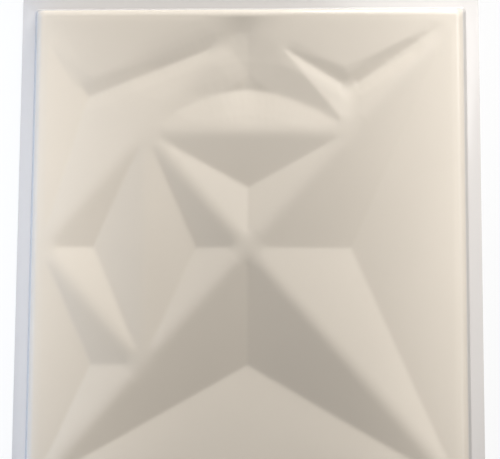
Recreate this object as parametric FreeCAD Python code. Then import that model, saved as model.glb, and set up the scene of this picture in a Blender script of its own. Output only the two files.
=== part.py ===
import FreeCAD, Part
import math
import os

# Relief wall panel formed from one sheet: a flat lip all round, a raised field with
# drafted walls and a rounded top edge, and a star pattern of shallow pits in the field.
# Millimetres. X is the width, Y the height on the wall, Z points out of the wall,
# and the back of the lip lies on Z = 0. Upper and lower are along Y.

V = FreeCAD.Vector

# Overall form
field_width = 500.0        # raised field at its foot, along X
field_length = 560.0       # raised field at its foot, along Y
panel_depth = 22.0         # back of the lip to the top of the field
sheet_thickness = 1.8      # measured square to the wall
lip_width = 15.0           # flat lip outside the foot of the field
lip_corner_radius = 6.0    # corners of the lip, in plan

# Field walls
wall_draft = 20.0          # degrees, lean of the walls from upright
foot_corner_radius = 4.5   # corners of the walls at their foot, in plan
field_corner_radius = 9.0  # corners of the walls at the top, in plan
top_edge_radius = 8.0      # rounding from wall to top
foot_radius = 1.5          # rounding from wall to lip

# Ridges
ridge_land = 6.0           # width in plan that the rounding of a ridge may take
ridge_radius = 18.0        # rounding along the ridges
ridge_rounding_from = 6.5  # degrees, gentler facets meet their ridge unrounded
ridge_share = 0.9          # part of the ridge's half width that its rounding may take
rim_land = 2.5             # flat between the top edge's rounding and the pattern

# Depth of each pit below the top of the field
large_pit_depth = 17.5     # lower middle
side_pit_depth = 12.0      # right-hand side
heart_pit_depth = 8.2      # between the upper stars and the centre
diamond_pit_depth = 8.0    # left of the centre
edge_pit_depth = 8.6       # left edge, upper
foot_pit_depth = 7.0       # left edge, lower

# Depths in the upper hollow, which runs along the whole upper edge
crown_depth = 1.5          # upper end of the crease, close to the upper edge
crease_depth = 6.5         # lower end of the crease under the crown
crescent_depth = 8.2       # middle of the crescent's arc
saddle_depth = 3.0         # where the left step ends below the crown
corner_depth = 7.4         # lowest point at the upper left
corner_shelf_depth = 4.0   # top of the step above that point
arm_depth = 5.4            # lowest point at the upper right
arm_shelf_depth = 2.1      # top of the step above that point
arm_far_depth = 3.6        # foot of that step at its far end
arm_shelf_far_depth = 0.6  # top of that step at its far end
notch_depth = 1.6          # point of the left arm

crown_run = 2.0            # upper edge of the hollow to the crown, in plan
side_share = 0.055         # of the pattern's length, where the left step starts at the left edge
step_end_share = 0.43      # of the pattern's width, where the left step meets the upper edge
arms_from_share = 0.62     # of that width, where the arms' terrace begins at the upper edge
arms_to_share = 0.965      # of that width, where it ends
arm_reach = 0.97           # part of the ridge to the upper right that the arm runs along

# Crescent
crescent_rise = 46.0       # ridge to the middle of the arc, in plan
crescent_fullness = 1.63   # shape of the arc: 1 is a roof, 2 a parabola
crescent_spans = 30        # spans along the arc, an even number
step_share = 0.27          # part of the arc, each side of its middle, under the short step

top = panel_depth
inset = ridge_land / 2.0
draft_inset = panel_depth * math.tan(math.radians(wall_draft))
round_setback = top_edge_radius * math.tan(math.radians(45.0 - wall_draft / 2.0))
pattern_inset = draft_inset + round_setback + rim_land
pattern_width = field_width - 2.0 * pattern_inset
pattern_length = field_length - 2.0 * pattern_inset
cap = 3.0                  # how far the pit solids stand above the field
probe = 0.01               # part of a length over which a slope is taken


def place(across, down, depth=0.0):
    """A point of the pattern: shares of its width and length from the upper left."""
    return V((across - 0.5) * pattern_width, (0.5 - down) * pattern_length, top - depth)


# Ridge crossings of the star pattern
upper_left = place(0.0, 0.0)
upper_right = place(1.0, 0.0)
lower_left = place(0.0, 1.0)
lower_right = place(1.0, 1.0)
left_star = place(0.25, 0.25)
right_star = place(0.75, 0.25)
centre = place(0.5, 0.5)
lower_star = place(0.25, 0.75)
left_edge = place(0.0, 0.5)


def in_plan(vector):
    return V(vector.x, vector.y, 0.0)


def step_inside(corners):
    """Corners of a polygon in plan, moved in so that each side keeps the ridge inset."""
    ring = list(zip(corners[-1:] + corners[:-1], corners, corners[1:] + corners[:1]))
    turn = 1.0 if sum(a.x * b.y - b.x * a.y for a, b, _ in ring) > 0.0 else -1.0
    moved = []
    for before, corner, after in ring:
        normals = []
        for a, b in ((before, corner), (corner, after)):
            run = in_plan(b - a).normalize()
            normals.append(V(-run.y, run.x, 0) * turn)
        bisector = normals[0] + normals[1]
        moved.append(corner + bisector * (inset / (1.0 + normals[0].dot(normals[1]))))
    return moved


def solid_of(facets):
    """Solid bounded by flat facets, each a list of corners."""
    faces = [Part.Face(Part.makePolygon(list(corners) + [corners[0]])) for corners in facets]
    shape = Part.makeSolid(Part.makeShell(faces))
    if shape.Volume < 0.0:
        shape.reverse()
    return shape


def pit(a, b, c, low):
    """Three-sided pit between ridges, standing a little above the field."""
    mouth = step_inside([a, b, c])
    stretch = (top + cap - low.z) / (top - low.z)
    lid = [low + (corner - low) * stretch for corner in mouth]
    sides = [[lid[0], lid[1], low], [lid[1], lid[2], low], [lid[2], lid[0], low]]
    return solid_of(sides + [lid])


def steepest(a, b, c, low):
    """Slope of a pit's steepest facet, in radians."""
    mouth = step_inside([a, b, c])
    slopes = []
    for p, q in zip(mouth, mouth[1:] + mouth[:1]):
        run = in_plan(q - p).normalize()
        across = in_plan(low - p).cross(run).Length
        slopes.append(math.atan((top - low.z) / across))
    return max(slopes)


simple_pits = [
    (centre, lower_left, lower_right, place(0.5, 0.75, large_pit_depth)),
    (centre, lower_right, upper_right, place(0.75, 0.5, side_pit_depth)),
    (left_star, centre, right_star, place(0.5, 0.37, heart_pit_depth)),
    (left_star, lower_star, centre, place(0.375, 0.5, diamond_pit_depth)),
    (left_star, left_edge, lower_star, place(0.125, 0.5, edge_pit_depth)),
    (left_edge, lower_left, lower_star, place(0.125, 0.75, foot_pit_depth)),
]


def on_plane(a, b, c, point):
    """The point moved up or down to the plane through three others."""
    normal = (b - a).cross(c - a)
    drop = (point - a).dot(normal) / normal.z
    return V(point.x, point.y, point.z - drop)


def crescent_points(ls, rs, saddle, crease, notch):
    """Points along the ridge under the crescent and along its arc. The arc lies on the
    two flanks of the crown and dips below them in the middle, under the short step."""
    middle = (ls + rs) * 0.5
    half = (rs.x - ls.x) / 2.0

    def below(share):
        """Point of the arc on the crown's flank, at a share of the half length."""
        rise = crescent_rise * (1.0 - abs(share) ** crescent_fullness)
        flank = (ls, saddle, crease) if share < 0.0 else (rs, crease, notch)
        return on_plane(*flank, middle + V(half * share, rise, 0))

    ridge, arc = [], []
    for i in range(1, crescent_spans):
        share = 2.0 * i / crescent_spans - 1.0
        ridge.append(middle + V(half * share, 0, 0))
        point = below(share)
        if abs(share) < step_share:
            border = math.copysign(step_share, share)
            edge = below(border).z
            pitch = (edge - below(border * (1.0 - probe)).z) / probe
            t = abs(share) / step_share
            point.z = ((top - crescent_depth) * (2 * t ** 3 - 3 * t ** 2 + 1)
                       + edge * (3 * t ** 2 - 2 * t ** 3) + pitch * (t ** 3 - t ** 2))
        arc.append(point)
    return ridge, arc


def fan(hub, line):
    return [(a, b, hub) for a, b in zip(line, line[1:])]


def upper_hollow():
    """The hollow along the upper edge: corner, crown with its crescent, and arms."""
    tl, el, ls, rs, tr = step_inside([upper_left, left_edge, left_star, right_star, upper_right])
    rim = [V(place(across, 0.0).x, tl.y, top)
           for across in (step_end_share, arms_from_share, arms_to_share)]
    side = V(tl.x, place(0.0, side_share).y, top)
    corner = place(0.108, 0.170, corner_depth)
    corner_shelf = place(0.115, 0.129, corner_shelf_depth)
    saddle = place(0.445, 0.052, saddle_depth)
    crown = place(0.497, 0.0, crown_depth)
    crown.y = tl.y - crown_run
    crease = place(0.5, 0.121, crease_depth)
    notch = place(0.575, 0.060, notch_depth)
    arm = place(0.747, 0.153, arm_depth)
    arm_shelf = place(0.735, 0.109, arm_shelf_depth)
    arm_shelf_far = place(0.922, 0.034, arm_shelf_far_depth)
    arm_far = place(0.917, 0.068, arm_far_depth)
    arm_end = rs + (tr - rs) * arm_reach
    ridge, arc = crescent_points(ls, rs, saddle, crease, notch)
    line = [ls] + ridge + [rs]
    curve = [ls] + arc + [rs]
    first = math.ceil((1.0 - step_share) * crescent_spans / 2.0)
    last = crescent_spans - first

    # Corner: terrace, step and the slopes below
    facets = [(tl, side, corner_shelf), (tl, corner_shelf, rim[0]),
              (corner_shelf, side, corner), (corner_shelf, corner, saddle),
              (corner_shelf, saddle, rim[0]), (corner, ls, saddle), (corner, el, ls),
              (side, el, corner)]
    # Crown: short fall from the upper edge, and the two flanks that meet in the crease
    facets += [(rim[0], saddle, crown), (rim[0], crown, rim[1]), (rim[1], crown, notch),
               (saddle, crease, crown), (crown, crease, notch),
               (curve[first], crease, saddle), (crease, curve[last], notch)]
    facets += fan(saddle, curve[:first + 1]) + fan(notch, curve[last:])
    # Short step, and the crescent below it
    facets += fan(crease, curve[first:last + 1])
    halfway = [(a + b) * 0.5 for a, b in zip(line, curve)]
    for lower, upper in ((line, halfway), (halfway, curve)):
        facets += [(lower[i], lower[i + 1], upper[i]) for i in range(1, crescent_spans)]
        facets += [(lower[i + 1], upper[i + 1], upper[i]) for i in range(crescent_spans - 1)]
    # Arms, and the terrace with its step at the upper right
    facets += [(notch, rs, arm), (notch, arm, arm_shelf), (rim[1], notch, arm_shelf),
               (rim[1], arm_shelf, rim[2]), (arm_shelf, arm_shelf_far, rim[2]),
               (arm_shelf, arm, arm_far), (arm_shelf, arm_far, arm_shelf_far),
               (arm, rs, arm_end), (arm, arm_end, arm_far),
               (arm_shelf_far, arm_far, arm_end), (arm_shelf_far, arm_end, rim[2])]

    mouth = [tl] + rim + [arm_end] + line[::-1] + [el, side]
    lift = V(0, 0, cap)
    for a, b in zip(mouth, mouth[1:] + mouth[:1]):
        facets.append((a, b, b + lift, a + lift))
    facets.append([point + lift for point in mouth])
    return solid_of(facets)


def outline(width, length, radius, z):
    """Rectangle with round corners, as a wire at one height."""
    w = width / 2.0 - radius
    h = length / 2.0 - radius
    corners = [V(w, h, z), V(-w, h, z), V(-w, -h, z), V(w, -h, z)]
    edges = []
    for i, corner in enumerate(corners):
        turn = [V(math.cos(a), math.sin(a), 0) * radius
                for a in (math.radians(90.0 * i + step) for step in (0.0, 45.0, 90.0))]
        edges.append(Part.Arc(*[corner + arm for arm in turn]).toShape())
        edges.append(Part.LineSegment(corner + turn[2], corners[(i + 1) % 4] + turn[2]).toShape())
    return Part.Wire(edges)


def field_block(margin, height):
    """Drafted block of the raised field with its top edge rounded."""
    shrink = margin + height * math.tan(math.radians(wall_draft))
    low = outline(field_width - 2.0 * margin, field_length - 2.0 * margin,
                  foot_corner_radius, 0.0)
    high = outline(field_width - 2.0 * shrink, field_length - 2.0 * shrink,
                   field_corner_radius, height)
    block = Part.makeLoft([low, high], True, True)
    rim = [edge for edge in block.Edges
           if all(abs(v.Point.z - height) < 1e-6 for v in edge.Vertexes)]
    return block.makeFillet(top_edge_radius - margin, rim)


def mouth_edges(shape, corners, z):
    """Edges of a shape that run between given corners of a mouth."""
    found = []
    for edge in shape.Edges:
        ends = [v.Point for v in edge.Vertexes]
        if len(ends) == 2 and all(any(p.distanceToPoint(V(c.x, c.y, z)) < 1e-3 for c in corners)
                                  for p in ends):
            found.append(edge)
    return found


def relief(block, drop):
    """Cut the pattern into a block whose top lies a given drop below the field."""
    down = V(0, 0, -drop)
    hollow = upper_hollow()
    hollow.translate(down)
    block = block.cut(hollow)
    for a, b, c, low in simple_pits:
        tool = pit(a, b, c, low)
        tool.translate(down)
        block = block.cut(tool)
    for a, b, c, low in simple_pits:
        slope = steepest(a, b, c, low)
        if slope > math.radians(ridge_rounding_from):
            radius = min(ridge_radius, ridge_share * inset / math.tan(slope / 2.0))
            edges = mouth_edges(block, step_inside([a, b, c]), top - drop)
            block = block.makeFillet(radius, edges)
    return block


def relief_panel():
    outer = relief(field_block(0.0, panel_depth), 0.0)
    inner = relief(field_block(sheet_thickness, panel_depth - sheet_thickness), sheet_thickness)
    lip = Part.Face(outline(field_width + 2.0 * lip_width, field_length + 2.0 * lip_width,
                            lip_corner_radius, 0.0)).extrude(V(0, 0, sheet_thickness))
    panel = lip.fuse(outer)
    foot = [edge for edge in panel.Edges
            if all(abs(v.Point.z - sheet_thickness) < 1e-6 for v in edge.Vertexes)
            and edge.BoundBox.XMax < field_width / 2.0 + 1e-3
            and edge.BoundBox.XMin > -field_width / 2.0 - 1e-3
            and edge.BoundBox.YMax < field_length / 2.0 + 1e-3
            and edge.BoundBox.YMin > -field_length / 2.0 - 1e-3]
    panel = panel.makeFillet(foot_radius, foot)
    return panel.cut(inner)


os.makedirs("parts", exist_ok=True)
panel = relief_panel()
panel.exportStep("parts/relief_panel.step")
print("relief_panel", panel.isValid(), len(panel.Solids), "solid", len(panel.Faces), "faces",
      round(panel.Volume), "mm3", panel.BoundBox)
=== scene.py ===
import math

import bpy
import numpy as np
from bpy.props import FloatProperty, FloatVectorProperty, IntProperty, PointerProperty
from bpy.types import Operator, Panel, PropertyGroup
from mathutils import Euler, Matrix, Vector


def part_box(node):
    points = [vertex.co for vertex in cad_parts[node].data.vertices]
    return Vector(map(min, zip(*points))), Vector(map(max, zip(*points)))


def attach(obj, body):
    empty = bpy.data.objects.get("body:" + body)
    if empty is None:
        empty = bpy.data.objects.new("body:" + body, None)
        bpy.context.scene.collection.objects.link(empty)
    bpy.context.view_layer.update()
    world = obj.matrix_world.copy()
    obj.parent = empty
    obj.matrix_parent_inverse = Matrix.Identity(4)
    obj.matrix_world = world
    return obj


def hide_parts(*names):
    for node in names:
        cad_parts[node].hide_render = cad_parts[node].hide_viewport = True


bl_info = {
    "name": "Relief wall panel",
    "version": (1, 0, 0),
    "blender": (4, 5, 0),
    "location": "3D View > Sidebar > Wall panel",
    "description": "Dresses a formed relief wall panel: sheet, finish, lamps and camera",
    "category": "Object",
}

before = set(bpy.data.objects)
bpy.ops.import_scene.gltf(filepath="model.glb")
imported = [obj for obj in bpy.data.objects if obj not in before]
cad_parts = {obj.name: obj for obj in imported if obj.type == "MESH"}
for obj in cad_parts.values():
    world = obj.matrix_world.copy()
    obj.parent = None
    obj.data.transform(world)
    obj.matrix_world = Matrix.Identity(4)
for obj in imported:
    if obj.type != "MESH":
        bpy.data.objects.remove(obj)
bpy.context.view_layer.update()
NODE = "relief_panel"
NODE_LOW, NODE_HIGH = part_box(NODE)
LIP_WIDTH = 0.015

NEAR = 0.0004           # heights closer than this are one level
LEVEL = 1e-5            # rounding error of a height or a share
OUTSIDE = 0.01          # how far outside the sheet a fine grid starts
GRID_MARGIN = 0.0009    # from the top edge's rounding to the fine grid
LONG_EDGE = 0.1         # only the straight sides of an opening are longer
MOST_CELLS = 100        # cells that one subdivision can make along an edge
FLOOR_GAP = 0.0002      # keeps the floor just off the panel's back

# Points of the star pattern, as shares of its width and length from its upper left
CROSSINGS = {
    "upper_left": (0.0, 0.0), "upper_right": (1.0, 0.0),
    "lower_left": (0.0, 1.0), "lower_right": (1.0, 1.0),
    "left_star": (0.25, 0.25), "right_star": (0.75, 0.25),
    "centre": (0.5, 0.5), "lower_star": (0.25, 0.75), "left_edge": (0.0, 0.5),
    "saddle": (0.445, 0.052), "crown": (0.497, 0.004), "notch": (0.575, 0.060),
    "arms_from": (0.62, 0.0), "arm": (0.747, 0.153),
    "rim_from": (0.41, 0.008), "rim_to": (0.61, 0.008),
    "valley_from": (0.497, 0.045), "valley_to": (0.498, 0.080),
    "step_foot": (0.112, 0.172), "step_mid": (0.280, 0.112), "step_end": (0.485, 0.024),
    "arc_left": (0.379, 0.172), "arc_top": (0.491, 0.153), "arc_mid": (0.570, 0.163),
    "arc_right": (0.678, 0.200), "corner_to": (0.085, 0.130),
    "notch_side": (0.605, 0.080), "arm_mid": (0.895, 0.074), "arm_end": (0.955, 0.037),
}
RIDGES = (
    ("left_star", "right_star"), ("left_star", "centre"), ("right_star", "centre"),
    ("right_star", "upper_right"), ("centre", "lower_right"), ("centre", "lower_star"),
    ("lower_star", "lower_left"), ("left_star", "left_edge"), ("left_edge", "lower_star"),
    ("left_star", "lower_star"),
)
STARS = ("left_star", "right_star", "centre", "lower_star", "left_edge")

# Lines of the upper hollow and corner that blend widely
BLENDED = (
    ("left_star", "saddle"), ("crown", "notch"), ("notch", "arms_from"),
    ("right_star", "arm"), ("rim_from", "rim_to"), ("upper_left", "corner_to"),
)

# Valleys drawn a little deeper than the solid's: their points, extra depth and reach
DEEPENED = (
    (("valley_from", "valley_to"), 0.0010, 0.035),
    (("step_mid", "saddle"), 0.0017, 0.035),
    (("step_foot", "saddle", "step_end"), 0.0009, 0.014),
    (("notch_side", "arm", "arm_end"), 0.0008, 0.014),
    (("arm", "arm_mid"), 0.0009, 0.014),
    (("arc_left", "arc_top", "arc_mid", "arc_right"), 0.0014, 0.030),
)

# How far each softening spreads. The ridges have two: the share of their width that each
# covers, and its spread
BLENDED_SPREAD = 0.0055
RIDGE_SPREADS = ((1.0, 0.0020), (0.6, 0.0030))
STAR_SPREAD = 0.0045
SHEET_SPREAD = 0.0012

# Finish: where the lip's tone (also painted shade on the lower wall) and the edge's gloss begin,
# inwards of the field's foot, the width over which they fade in, and how rough and how coated
# the plastic is
LIP_AND_WALL_SHADE_FROM = 0.006
EDGE_FROM = 0.0145
FADE = 0.0025
FIELD_ROUGHNESS = 0.42
LIP_SMOOTHER = 0.2
EDGE_COAT = 0.6

WHITE = (1.0, 1.0, 1.0)
FLOOR_WHITE = 0.85      # share of plain white in the floor where it is seen directly

# Lamps: name, place, the point that it faces, width and length
LAMPS = (
    ("low", (0.5, 1.8, 0.4), (0.0, 0.0, 0.0), (0.8, 0.4)),
    ("key", (0.6, 0.8, 1.0), (0.0, 0.0, 0.0), (0.8, 0.8)),
    ("top", (0.0, 0.3, 1.2), (0.0, 0.0, 0.0), (1.0, 1.0)),
    ("left", (-0.35, -0.05, 0.2), (-0.33, -0.05, 0.0), (0.8, 0.05)),
    ("inner", (-0.24, 0.0, 0.25), (-0.24, 0.001, 0.0), (0.1, 0.6)),
    ("wall", (-0.31, -0.05, 0.045), (-0.25, -0.05, 0.012), (0.75, 0.02)),
    ("rim", (0.0, 1.0, 0.7), (0.0, 0.28, 0.0), (1.5, 0.05)),
    ("right", (0.29, 0.0, 0.18), (0.29, 0.001, 0.0), (0.14, 0.7)),
)


class PanelSizes(PropertyGroup):
    """Sizes of the formed sheet."""

    field_width: FloatProperty(
        name="Field width", description="Raised field at its foot, across",
        default=NODE_HIGH.x - NODE_LOW.x - 2 * LIP_WIDTH, min=0.1, unit="LENGTH")
    field_length: FloatProperty(
        name="Field length", description="Raised field at its foot, up the wall",
        default=NODE_HIGH.y - NODE_LOW.y - 2 * LIP_WIDTH, min=0.1, unit="LENGTH")
    lip_width: FloatProperty(
        name="Lip width", description="Flat lip outside the field",
        default=LIP_WIDTH, min=0.0, unit="LENGTH")
    depth: FloatProperty(
        name="Depth", description="Back of the lip to the top of the field",
        default=NODE_HIGH.z - NODE_LOW.z, min=0.005, unit="LENGTH")
    thickness: FloatProperty(
        name="Sheet thickness", description="Thickness of the sheet",
        default=0.0018, min=0.0005, unit="LENGTH")
    draft: FloatProperty(
        name="Wall draft", description="Lean of the field's walls from upright",
        default=math.radians(20.0), min=0.0, max=math.radians(60.0), subtype="ANGLE")
    corner_radius: FloatProperty(
        name="Corner radius", description="Corners of the field in plan, at the top",
        default=0.009, min=0.001, unit="LENGTH")
    foot_corner_radius: FloatProperty(
        name="Foot corner radius", description="Corners of the field in plan, at its foot",
        default=0.0045, min=0.001, unit="LENGTH")
    top_radius: FloatProperty(
        name="Top edge radius", description="Rounding from wall to top",
        default=0.008, min=0.001, unit="LENGTH")
    foot_radius: FloatProperty(
        name="Foot radius", description="Rounding from wall to lip",
        default=0.0015, min=0.0002, unit="LENGTH")
    rim_land: FloatProperty(
        name="Rim land", description="Flat between the top edge's rounding and the pattern",
        default=0.0025, min=0.0, unit="LENGTH")
    front_cells: IntProperty(
        name="Front cells", description="Cells of the relief along each side, front",
        default=236, min=20, max=260)
    back_cells: IntProperty(
        name="Back cells", description="Cells of the relief along each side, back",
        default=96, min=12, max=200)


class PanelFinish(PropertyGroup):
    """Colours and softness of the finish."""

    field_colour: FloatVectorProperty(
        name="Field colour", description="Satin cream plastic of the field",
        default=(0.742, 0.666, 0.565), size=3, min=0.0, max=1.0, subtype="COLOR")
    # Greyer tone of the lip; the same colour, laid up the wall to about 6 mm in plan inwards of
    # the field's foot, is painted shade on the lower wall
    lip_and_wall_shade_colour: FloatVectorProperty(
        name="Lip colour", description="Greyer tone that the lip shows",
        default=(0.605, 0.572, 0.545), size=3, min=0.0, max=1.0, subtype="COLOR")
    ridge_softness: FloatProperty(
        name="Ridge softness", description="How far the ridges are blended, each way",
        default=0.012, min=0.0, unit="LENGTH")
    blend_softness: FloatProperty(
        name="Blend softness", description="How far the faint lines of the upper hollow blend",
        default=0.010, min=0.0, unit="LENGTH")
    star_softness: FloatProperty(
        name="Star softness", description="How far the facets blend where ridges meet",
        default=0.020, min=0.0, unit="LENGTH")


class PanelStage(PropertyGroup):
    """Camera and lamps."""

    camera_place: FloatVectorProperty(
        name="Camera place", description="Where the camera stands",
        default=(0.048, -0.120, 1.363), size=3, subtype="TRANSLATION", unit="LENGTH")
    camera_turn: FloatVectorProperty(
        name="Camera turn", description="How the camera is turned from looking straight down",
        default=tuple(math.radians(a) for a in (5.95, 1.90, 0.31)), size=3, subtype="EULER")
    camera_lens: FloatProperty(
        name="Lens", description="Focal length in millimetres", default=86.4, min=10.0)
    low_power: FloatProperty(
        name="Low lamp", description="Power of the low lamp beyond the upper edge",
        default=21.0, min=0.0)
    key_power: FloatProperty(
        name="Key lamp", description="Power of the soft lamp above the upper right corner",
        default=6.2, min=0.0)
    top_power: FloatProperty(
        name="Top lamp", description="Power of the soft lamp overhead", default=2.85, min=0.0)
    left_power: FloatProperty(
        name="Left strip", description="Power of the soft strip beyond the left edge",
        default=0.28, min=0.0)
    inner_power: FloatProperty(
        name="Inner strip", description="Power of the soft strip over the left of the field",
        default=0.22, min=0.0)
    wall_power: FloatProperty(
        name="Wall strip", description="Power of the thin cool strip that lights the left wall",
        default=0.17, min=0.0)
    wall_tint: FloatVectorProperty(
        name="Wall strip's tint", description="Cool light that the left lip and wall catch",
        default=(0.45, 0.65, 1.0), size=3, min=0.0, max=1.0, subtype="COLOR")
    rim_power: FloatProperty(
        name="Rim strip", description="Power of the thin strip that lights the upper rim",
        default=2.0, min=0.0)
    right_power: FloatProperty(
        name="Right strip", description="Power of the soft strip over the right edge",
        default=0.37, min=0.0)
    sky_strength: FloatProperty(
        name="Room light", description="Strength of the even light of the room",
        default=0.012, min=0.0)


def deselect_all():
    if bpy.context.mode != "OBJECT":
        bpy.ops.object.mode_set(mode="OBJECT")
    bpy.ops.object.select_all(action="DESELECT")


def make_active(obj):
    deselect_all()
    obj.select_set(True)
    bpy.context.view_layer.objects.active = obj


def points(mesh):
    """The places of a mesh's vertices, one in each row."""
    flat = np.empty(len(mesh.vertices) * 3)
    mesh.vertices.foreach_get("co", flat)
    return flat.reshape(-1, 3)


def select_vertices(obj, mask):
    """Select just these vertices and what lies between them, and go to edit mode."""
    make_active(obj)
    mesh = obj.data
    mesh.polygons.foreach_set("select", np.zeros(len(mesh.polygons), bool))
    ends = np.empty(len(mesh.edges) * 2, np.int32)
    mesh.edges.foreach_get("vertices", ends)
    mesh.edges.foreach_set("select", mask[ends.reshape(-1, 2)].all(axis=1))
    mesh.vertices.foreach_set("select", mask)
    bpy.ops.object.mode_set(mode="EDIT")
    bpy.ops.mesh.select_mode(type="VERT")


def select_faces(obj, test):
    """Select the faces that pass a test of centre and normal, and go to edit mode."""
    make_active(obj)
    bpy.ops.object.mode_set(mode="EDIT")
    bpy.ops.mesh.select_mode(type="FACE")
    bpy.ops.mesh.select_all(action="DESELECT")
    bpy.ops.object.mode_set(mode="OBJECT")
    for face in obj.data.polygons:
        face.select = test(face.center, face.normal)
    bpy.ops.object.mode_set(mode="EDIT")


def select_boundary(obj, test):
    """Select the open edges that pass a test of their two ends, and go to edit mode."""
    make_active(obj)
    bpy.ops.object.mode_set(mode="EDIT")
    bpy.ops.mesh.select_mode(type="EDGE")
    bpy.ops.mesh.select_all(action="DESELECT")
    bpy.ops.mesh.select_non_manifold(
        use_wire=False, use_boundary=True, use_multi_face=False,
        use_non_contiguous=False, use_verts=False)
    bpy.ops.object.mode_set(mode="OBJECT")
    mesh = obj.data
    for edge in mesh.edges:
        if edge.select:
            edge.select = test(*(mesh.vertices[i].co for i in edge.vertices))
    bpy.ops.object.mode_set(mode="EDIT")


def relief_grid(name, sizes, cells, from_above):
    """A fine grid over the pattern, laid on the front or the back of the frame's sheet."""
    half_x, half_y = relief_half(sizes)
    bpy.ops.mesh.primitive_grid_add(x_subdivisions=cells, y_subdivisions=cells, size=2.0)
    grid = bpy.context.object
    grid.name = name
    bpy.ops.object.mode_set(mode="EDIT")
    bpy.ops.transform.resize(value=(half_x, half_y, 1.0))
    start = NODE_HIGH.z + OUTSIDE if from_above else NODE_LOW.z - OUTSIDE
    bpy.ops.transform.translate(value=(0.0, 0.0, start))
    if not from_above:
        bpy.ops.mesh.flip_normals()
    bpy.ops.object.mode_set(mode="OBJECT")
    lay = grid.modifiers.new("lay", "SHRINKWRAP")
    lay.wrap_method = "PROJECT"
    lay.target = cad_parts[NODE]
    lay.use_project_z = True
    lay.use_negative_direction = from_above
    lay.use_positive_direction = not from_above
    bpy.ops.object.modifier_apply(modifier=lay.name)
    return grid


def rounding_offset(sizes, radius):
    """How far a rounding between the drafted wall and a level face reaches along each."""
    return radius * math.tan(math.pi / 4.0 - sizes.draft / 2.0)


def rim_inset(sizes):
    """From the field's foot inwards, in plan, past the wall and the top edge's rounding."""
    return sizes.depth * math.tan(sizes.draft) + rounding_offset(sizes, sizes.top_radius)


def pattern_half(sizes):
    """Half sizes of the pattern."""
    inset = rim_inset(sizes) + sizes.rim_land
    return sizes.field_width / 2.0 - inset, sizes.field_length / 2.0 - inset


def relief_half(sizes):
    """Half sizes of the fine grid, which also covers most of the rim land."""
    inset = rim_inset(sizes) + GRID_MARGIN
    return sizes.field_width / 2.0 - inset, sizes.field_length / 2.0 - inset


def crossing(sizes, name):
    """Place in plan of a named point of the pattern."""
    half_x, half_y = pattern_half(sizes)
    across, down = CROSSINGS[name]
    return np.array([(2.0 * across - 1.0) * half_x, (1.0 - 2.0 * down) * half_y])


def distance_to_line(xy, a, b):
    """Distance in plan from each point to the line between two points."""
    run = b - a
    share = np.clip(((xy - a) @ run) / (run @ run), 0.0, 1.0)
    return np.linalg.norm(xy - (a + share[:, None] * run), axis=1)


def distance_to_lines(xy, sizes, lines):
    """Distance in plan from each point to the nearest line between two named points."""
    return np.minimum.reduce([
        distance_to_line(xy, crossing(sizes, a), crossing(sizes, b)) for a, b in lines])


def distance_to_stars(xy, sizes):
    """Distance in plan from each point to the nearest place where ridges meet."""
    return np.minimum.reduce([
        np.linalg.norm(xy - crossing(sizes, name), axis=1) for name in STARS])


def passes(spread, cell):
    """How many averaging passes blur a grid by a given spread."""
    return max(1, round((2.0 * spread / cell) ** 2))


def soften(grid, near, repeat):
    """Average the heights of the vertices in the mask, keeping their places in plan."""
    select_vertices(grid, near)
    bpy.ops.mesh.vertices_smooth(
        factor=0.5, repeat=repeat, xaxis=False, yaxis=False, zaxis=True)
    bpy.ops.object.mode_set(mode="OBJECT")


def deepen(grid, inner, line, depth, reach):
    """Draw a line of vertices down, its surroundings with it, but not the grid's border."""
    select_vertices(grid, ~inner)
    bpy.ops.mesh.hide(unselected=False)
    select_vertices(grid, line & inner)
    bpy.ops.transform.translate(
        value=(0.0, 0.0, -depth), use_proportional_edit=True,
        proportional_edit_falloff="LINEAR", proportional_size=reach)
    bpy.ops.mesh.reveal(select=False)
    bpy.ops.object.mode_set(mode="OBJECT")


def soften_relief(grid, sizes, finish):
    """Blend the ridges widely and the valleys a little, as in a formed sheet."""
    xy = points(grid.data)[:, :2]
    half_x, half_y = relief_half(sizes)
    cell = 2.0 * half_x / (round(math.sqrt(len(xy))) - 1)
    # All but the outermost row, which the rim joins
    inner = (np.abs(xy[:, 0]) < half_x - 0.6 * cell) & (np.abs(xy[:, 1]) < half_y - 0.6 * cell)
    for names, depth, reach in DEEPENED:
        line = distance_to_lines(xy, sizes, zip(names, names[1:])) < 0.75 * cell
        deepen(grid, inner, line, depth, reach)
    blended = distance_to_lines(xy, sizes, BLENDED)
    ridge = distance_to_lines(xy, sizes, RIDGES)
    star = distance_to_stars(xy, sizes)
    soften(grid, inner & (blended < finish.blend_softness), passes(BLENDED_SPREAD, cell))
    for share, spread in RIDGE_SPREADS:
        soften(grid, inner & (ridge < share * finish.ridge_softness), passes(spread, cell))
    soften(grid, inner & (star < finish.star_softness), passes(STAR_SPREAD, cell))
    soften(grid, inner, passes(SHEET_SPREAD, cell))


def tighten_foot_corners(shell, sizes, low):
    """Shrink each corner's arc at the foot about the point where its two sides would meet."""
    place = points(shell.data)
    share = sizes.foot_corner_radius / sizes.corner_radius
    for side_x in (-0.5, 0.5):
        for side_y in (-0.5, 0.5):
            corner = (side_x * sizes.field_width, side_y * sizes.field_length, sizes.thickness)
            near = np.abs(place - corner).max(axis=1) < 1.1 * sizes.corner_radius
            select_vertices(shell, near & low)
            bpy.ops.transform.resize(value=(share, share, 1.0), center_override=corner)
            bpy.ops.object.mode_set(mode="OBJECT")


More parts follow.
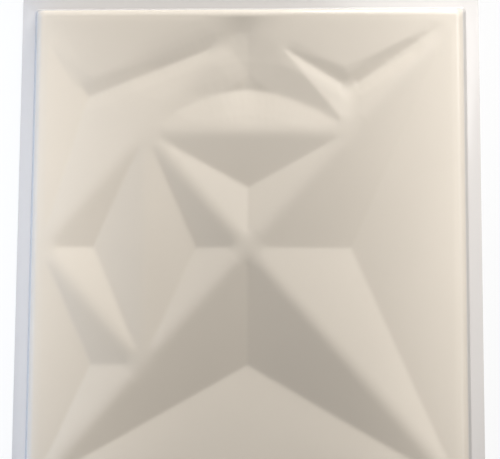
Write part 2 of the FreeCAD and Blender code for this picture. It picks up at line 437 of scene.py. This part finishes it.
def field_shell(sizes):
    """Walls, roundings and lip around the relief, open where the relief goes."""
    bpy.ops.mesh.primitive_plane_add(size=1.0)
    shell = bpy.context.object
    shell.name = "shell"
    bpy.ops.object.mode_set(mode="EDIT")
    bpy.ops.transform.resize(value=(sizes.field_width, sizes.field_length, 1.0))
    bpy.ops.transform.translate(value=(0.0, 0.0, sizes.thickness))
    bpy.ops.mesh.select_mode(type="VERT")
    bpy.ops.mesh.select_all(action="SELECT")
    bpy.ops.mesh.bevel(offset=sizes.corner_radius, segments=8, affect="VERTICES")
    # Wall, drafted to the height of the field
    rise = sizes.depth - sizes.thickness
    lean = rise * math.tan(sizes.draft)
    bpy.ops.mesh.select_all(action="SELECT")
    bpy.ops.mesh.extrude_region_move(TRANSFORM_OT_translate={"value": (0.0, 0.0, rise)})
    bpy.ops.transform.resize(
        value=(1.0 - 2.0 * lean / sizes.field_width, 1.0 - 2.0 * lean / sizes.field_length, 1.0),
        center_override=(0.0, 0.0, 0.0))
    select_faces(shell, lambda centre, normal: abs(normal.z) > 0.9 and centre.z < rise / 2.0)
    bpy.ops.mesh.delete(type="FACE")
    # Rounding of the top edge
    select_faces(shell, lambda centre, normal: normal.z > 0.9)
    bpy.ops.mesh.bevel(
        offset=rounding_offset(sizes, sizes.top_radius),
        segments=8, affect="EDGES", clamp_overlap=False)
    select_faces(shell, lambda centre, normal: normal.z > 0.999 and centre.length < 0.05)
    bpy.ops.mesh.delete(type="ONLY_FACE")
    # Lip, and the rounding where the wall meets it
    bpy.ops.object.mode_set(mode="OBJECT")
    low = points(shell.data)[:, 2] < sizes.thickness + LEVEL
    tighten_foot_corners(shell, sizes, low)
    select_vertices(shell, low)
    bpy.ops.mesh.extrude_region_move()
    bpy.ops.transform.resize(
        value=(1.0 + 2.0 * sizes.lip_width / sizes.field_width,
               1.0 + 2.0 * sizes.lip_width / sizes.field_length, 1.0),
        center_override=(0.0, 0.0, 0.0))
    bpy.ops.object.mode_set(mode="OBJECT")
    place = points(shell.data)
    reach = np.maximum(np.abs(place[:, 0]) / sizes.field_width,
                       np.abs(place[:, 1]) / sizes.field_length)
    foot = (place[:, 2] < sizes.thickness + LEVEL) & (reach < 0.5 + LEVEL)
    select_vertices(shell, foot)
    bpy.ops.mesh.bevel(
        offset=rounding_offset(sizes, sizes.foot_radius),
        segments=3, affect="EDGES", clamp_overlap=False)
    bpy.ops.mesh.select_all(action="SELECT")
    bpy.ops.mesh.normals_make_consistent(inside=False)
    bpy.ops.object.mode_set(mode="OBJECT")
    return shell


def thicken(shell, sizes):
    """Give the shell its thickness, closed along the lip's edge and open at the relief."""
    wall = shell.modifiers.new("wall", "SOLIDIFY")
    wall.thickness = sizes.thickness
    wall.offset = -1.0
    wall.use_even_offset = True
    wall.use_rim = False
    make_active(shell)
    bpy.ops.object.modifier_apply(modifier=wall.name)
    select_boundary(shell, lambda a, b: max(a.z, b.z) < sizes.depth / 2.0)
    bpy.ops.mesh.bridge_edge_loops()
    bpy.ops.object.mode_set(mode="OBJECT")


def divide_long_edges(shell, height, cells):
    """Divide the straight edges of the opening at one height."""
    select_boundary(shell, lambda a, b: (
        abs(a.z - height) < NEAR and abs(b.z - height) < NEAR and (a - b).length > LONG_EDGE))
    bpy.ops.mesh.subdivide(number_cuts=min(cells, MOST_CELLS) - 1)
    bpy.ops.object.mode_set(mode="OBJECT")


def close_gap(sheet, height):
    """Fill between the relief's edge and the opening around it, both at one height."""
    select_boundary(sheet, lambda a, b: abs(a.z - height) < NEAR and abs(b.z - height) < NEAR)
    bpy.ops.mesh.fill(use_beauty=True)
    bpy.ops.object.mode_set(mode="OBJECT")


def formed_sheet(sizes, finish):
    """The whole panel as one closed sheet."""
    front = relief_grid("front", sizes, sizes.front_cells, True)
    soften_relief(front, sizes, finish)
    back = relief_grid("back", sizes, sizes.back_cells, False)
    soften_relief(back, sizes, finish)
    shell = field_shell(sizes)
    thicken(shell, sizes)
    top = sizes.depth
    under = sizes.depth - sizes.thickness
    divide_long_edges(shell, top, sizes.front_cells)
    divide_long_edges(shell, under, sizes.back_cells)
    deselect_all()
    for part in (front, back, shell):
        part.select_set(True)
    bpy.context.view_layer.objects.active = shell
    bpy.ops.object.join()
    sheet = bpy.context.object
    sheet.name = "formed_sheet"
    close_gap(sheet, top)
    close_gap(sheet, under)
    bpy.ops.object.mode_set(mode="EDIT")
    bpy.ops.mesh.select_all(action="SELECT")
    bpy.ops.mesh.remove_doubles(threshold=1e-6)
    bpy.ops.mesh.normals_make_consistent(inside=False)
    bpy.ops.object.mode_set(mode="OBJECT")
    bpy.ops.object.shade_smooth_by_angle(angle=math.radians(35.0))
    return sheet


class Socket:
    """A shader value that can be written into an expression."""

    def __init__(self, tree, socket):
        self.tree = tree
        self.socket = socket

    def math(self, operation, other=None):
        values = [self] if other is None else [self, other]
        return self.tree.node("ShaderNodeMath", values, operation=operation)

    def __add__(self, other):
        return self.math("ADD", other)

    def __sub__(self, other):
        return self.math("SUBTRACT", other)

    def __rsub__(self, other):
        return self.tree.node("ShaderNodeMath", [other, self], operation="SUBTRACT")

    def __mul__(self, other):
        return self.math("MULTIPLY", other)

    __radd__ = __add__
    __rmul__ = __mul__


class Finish:
    """The nodes of a material or a world, made by one method."""

    def __init__(self, owner):
        owner.use_nodes = True
        self.owner = owner
        self.nodes = owner.node_tree.nodes
        self.links = owner.node_tree.links
        self.nodes.clear()

    def node(self, kind, values=(), output=0, **settings):
        """Add a node: settings first, then the values or links of its sockets."""
        made = self.nodes.new(kind)
        for key, value in settings.items():
            setattr(made, key, value)
        pairs = values.items() if isinstance(values, dict) else enumerate(values)
        for key, value in pairs:
            if isinstance(value, Socket):
                self.links.new(value.socket, made.inputs[key])
            else:
                made.inputs[key].default_value = value
        return Socket(self, made.outputs[output]) if made.outputs else None


def fades_in(past, start):
    """0 to 1 over the fade's width, from a start inwards of the field's foot."""
    return ((past + start) * (1.0 / FADE)).math("MINIMUM", 1.0).math("MAXIMUM", 0.0)


def cream_plastic(sizes, finish):
    """Satin cream plastic, cooler and glossier on the lip, with a faint grain; the lip's darker
    tone also reaches a little up the wall as painted shade.
    """
    look = Finish(bpy.data.materials.new("cream_plastic"))
    place = look.node("ShaderNodeTexCoord", output="Object")
    axes = [look.node("ShaderNodeSeparateXYZ", [place], output=i) for i in range(2)]
    past_x = axes[0].math("ABSOLUTE") - sizes.field_width / 2.0
    past_y = axes[1].math("ABSOLUTE") - sizes.field_length / 2.0
    past = past_x.math("MAXIMUM", past_y)
    # 1 on the lip and on the lower wall, fading out 6 mm in plan inwards of the field's foot: on
    # the wall the lip's tone is painted shade
    lip = fades_in(past, LIP_AND_WALL_SHADE_FROM)
    edge = fades_in(past, EDGE_FROM)
    cloud = look.node("ShaderNodeTexNoise", {"Vector": place, "Scale": 7.0, "Detail": 3.0})
    tone = look.node("ShaderNodeMapRange", {
        "Value": cloud, "From Min": 0.3, "From Max": 0.7, "To Min": 0.985, "To Max": 1.015})
    field = look.node("ShaderNodeMix", {
        "Factor": 1.0, "A": (*finish.field_colour, 1.0), "B": tone},
        output=2, data_type="RGBA", blend_type="MULTIPLY")
    # Lip colour over the lip, and as painted shade over the lower wall
    colour = look.node("ShaderNodeMix", {
        "Factor": lip, "A": field, "B": (*finish.lip_and_wall_shade_colour, 1.0)},
        output=2, data_type="RGBA")
    peel = look.node("ShaderNodeTexNoise", {"Vector": place, "Scale": 260.0, "Detail": 2.0})
    grain = look.node("ShaderNodeBump", {
        "Strength": 0.05, "Distance": 0.0002, "Height": peel})
    shader = look.node("ShaderNodeBsdfPrincipled", {
        "Base Color": colour, "Roughness": FIELD_ROUGHNESS - lip * LIP_SMOOTHER,
        "Normal": grain, "IOR": 1.49, "Coat Weight": edge * EDGE_COAT,
        "Coat Roughness": 0.12})
    look.node("ShaderNodeOutputMaterial", [shader])
    return look.owner


class WALL_PANEL_OT_formed_sheet(Operator):
    """Make the panel's sheet with its relief, walls and lip, and finish it"""

    bl_idname = "wall_panel.formed_sheet"
    bl_label = "Formed sheet"
    bl_options = {"REGISTER", "UNDO"}

    def execute(self, context):
        sizes = context.scene.panel_sizes
        finish = context.scene.panel_finish
        sheet = formed_sheet(sizes, finish)
        sheet.data.materials.clear()
        sheet.data.materials.append(cream_plastic(sizes, finish))
        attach(sheet, "root")
        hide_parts(NODE)
        return {"FINISHED"}


def seen_directly(look):
    """1 where the camera, a reflection or a refraction looks at the surface or the sky."""
    rays = [look.node("ShaderNodeLightPath", output="Is %s Ray" % kind)
            for kind in ("Camera", "Glossy", "Transmission")]
    return rays[0].math("MAXIMUM", rays[1]).math("MAXIMUM", rays[2])


def pale_floor():
    """A matte floor that keeps the panel's shadow and shows nearly white."""
    look = Finish(bpy.data.materials.new("pale_floor"))
    matte = look.node("ShaderNodeBsdfDiffuse", {"Color": (0.8, 0.8, 0.8, 1.0)})
    white = look.node("ShaderNodeEmission", {"Color": (*WHITE, 1.0), "Strength": 1.0})
    mixed = look.node("ShaderNodeMixShader", [seen_directly(look) * FLOOR_WHITE, matte, white])
    look.node("ShaderNodeOutputMaterial", [mixed])
    return look.owner


def pale_room(strength):
    """A room that shows white and lights the panel evenly with a given strength."""
    look = Finish(bpy.data.worlds.new("pale_room"))
    light = look.node("ShaderNodeBackground", {
        "Color": (*WHITE, 1.0),
        "Strength": seen_directly(look) * (1.0 - strength) + strength})
    look.node("ShaderNodeOutputWorld", [light])
    return look.owner


def area_lamp(name, place, aim, size, power, tint):
    """A lamp that the camera doesn't see, faced to a point."""
    data = bpy.data.lights.new(name, "AREA")
    data.shape = "RECTANGLE"
    data.size, data.size_y = size
    data.energy = power
    data.color = tint
    lamp = bpy.data.objects.new(name, data)
    lamp.location = place
    lamp.rotation_euler = (Vector(aim) - Vector(place)).to_track_quat("-Z", "Y").to_euler()
    lamp.visible_camera = False
    bpy.context.scene.collection.objects.link(lamp)


class WALL_PANEL_OT_stage(Operator):
    """Set the floor, the lamps, the room's light and the camera"""

    bl_idname = "wall_panel.stage"
    bl_label = "Stage"
    bl_options = {"REGISTER", "UNDO"}

    def execute(self, context):
        stage = context.scene.panel_stage
        deselect_all()
        bpy.ops.mesh.primitive_plane_add(size=12.0, location=(0.0, 0.0, NODE_LOW.z - FLOOR_GAP))
        floor = context.object
        floor.name = "floor"
        floor.data.materials.append(pale_floor())
        context.scene.world = pale_room(stage.sky_strength)
        for name, place, aim, size in LAMPS:
            tint = stage.wall_tint if name == "wall" else WHITE
            area_lamp(name, place, aim, size, getattr(stage, name + "_power"), tint)
        lens = bpy.data.cameras.new("camera")
        lens.lens = stage.camera_lens
        camera = bpy.data.objects.new("camera", lens)
        camera.location = stage.camera_place
        camera.rotation_euler = Euler(stage.camera_turn, "XYZ")
        context.scene.collection.objects.link(camera)
        context.scene.camera = camera
        context.scene.view_settings.view_transform = "Standard"
        return {"FINISHED"}


class VIEW3D_PT_wall_panel(Panel):
    """Lists the panel's sizes, finish and stage, with the buttons that make them"""

    bl_label = "Wall panel"
    bl_idname = "VIEW3D_PT_wall_panel"
    bl_space_type = "VIEW_3D"
    bl_region_type = "UI"
    bl_category = "Wall panel"

    def draw(self, context):
        for group, operator in (
                (context.scene.panel_sizes, "wall_panel.formed_sheet"),
                (context.scene.panel_finish, None),
                (context.scene.panel_stage, "wall_panel.stage")):
            box = self.layout.box()
            for key in group.bl_rna.properties.keys():
                if key not in {"rna_type", "name"}:
                    box.prop(group, key)
            if operator:
                box.operator(operator)


CLASSES = (
    PanelSizes, PanelFinish, PanelStage,
    WALL_PANEL_OT_formed_sheet, WALL_PANEL_OT_stage, VIEW3D_PT_wall_panel,
)


def register():
    for cls in CLASSES:
        bpy.utils.register_class(cls)
    bpy.types.Scene.panel_sizes = PointerProperty(type=PanelSizes)
    bpy.types.Scene.panel_finish = PointerProperty(type=PanelFinish)
    bpy.types.Scene.panel_stage = PointerProperty(type=PanelStage)


def unregister():
    del bpy.types.Scene.panel_stage
    del bpy.types.Scene.panel_finish
    del bpy.types.Scene.panel_sizes
    for cls in reversed(CLASSES):
        bpy.utils.unregister_class(cls)


def main():
    register()
    bpy.ops.wall_panel.formed_sheet()
    bpy.ops.wall_panel.stage()


if __name__ == "__main__":
    main()
